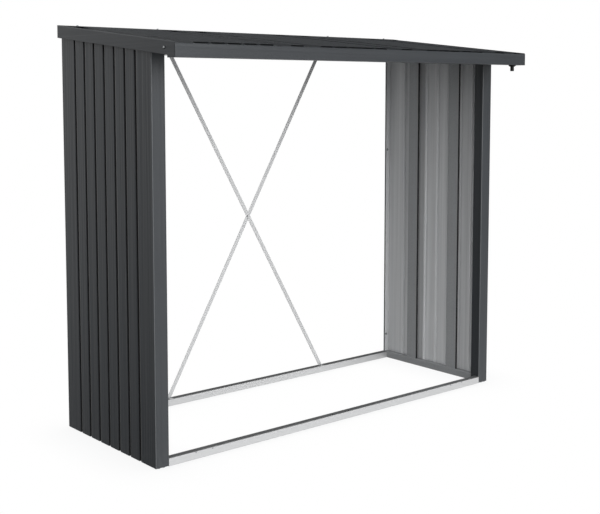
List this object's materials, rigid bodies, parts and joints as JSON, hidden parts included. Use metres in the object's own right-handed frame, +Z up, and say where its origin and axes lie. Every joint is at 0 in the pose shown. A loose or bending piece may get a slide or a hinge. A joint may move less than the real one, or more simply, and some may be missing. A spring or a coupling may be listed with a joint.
{
  "type": "log store",
  "caption": "Open-fronted lean-to store for firewood: ribbed steel side walls and mono-pitch roof with a front gutter, on a floor frame of rails, cross-braced at its open back.",
  "frame": {"origin": "middle of the overall box, on the ground", "axes": "+X to the right along the width as seen from the open front, +Y towards the back, +Z up"},
  "size_m": [2.29, 1.02, 1.9898],
  "materials": {
    "anthracite_coat": "satin dark grey coil coating, paler grey primer on the inner side",
    "galvanised_steel": "hot-dip galvanised, dull zinc grey",
    "black_plastic": "moulded matt black"
  },
  "bodies": {
    "root": {"back_brace_strap": "galvanised_steel", "back_floor_rail": "galvanised_steel", "back_roof_beam": "galvanised_steel", "back_roof_trim": "anthracite_coat", "brace_bolt": "galvanised_steel", "drain_spout": "black_plastic", "front_brace_strap": "galvanised_steel", "front_floor_rail": "galvanised_steel", "front_gutter": "anthracite_coat", "front_roof_beam": "galvanised_steel", "left_back_post": "anthracite_coat", "left_back_stiffener": "galvanised_steel", "left_back_wall_sheet": "anthracite_coat", "left_floor_rail": "galvanised_steel", "left_front_post": "anthracite_coat", "left_front_stiffener": "galvanised_steel", "left_front_wall_sheet": "anthracite_coat", "left_gutter_end_cap": "anthracite_coat", "left_middle_wall_sheet": "anthracite_coat", "left_roof_sheet": "anthracite_coat", "left_roof_trim": "anthracite_coat", "left_top_rail": "galvanised_steel", "middle_roof_sheet": "anthracite_coat", "right_back_post": "anthracite_coat", "right_back_stiffener": "galvanised_steel", "right_back_wall_sheet": "anthracite_coat", "right_floor_rail": "galvanised_steel", "right_front_post": "anthracite_coat", "right_front_stiffener": "galvanised_steel", "right_front_wall_sheet": "anthracite_coat", "right_gutter_end_cap": "anthracite_coat", "right_middle_wall_sheet": "anthracite_coat", "right_roof_sheet": "anthracite_coat", "right_roof_trim": "anthracite_coat", "right_top_rail": "galvanised_steel"}
  },
  "joints": []
}
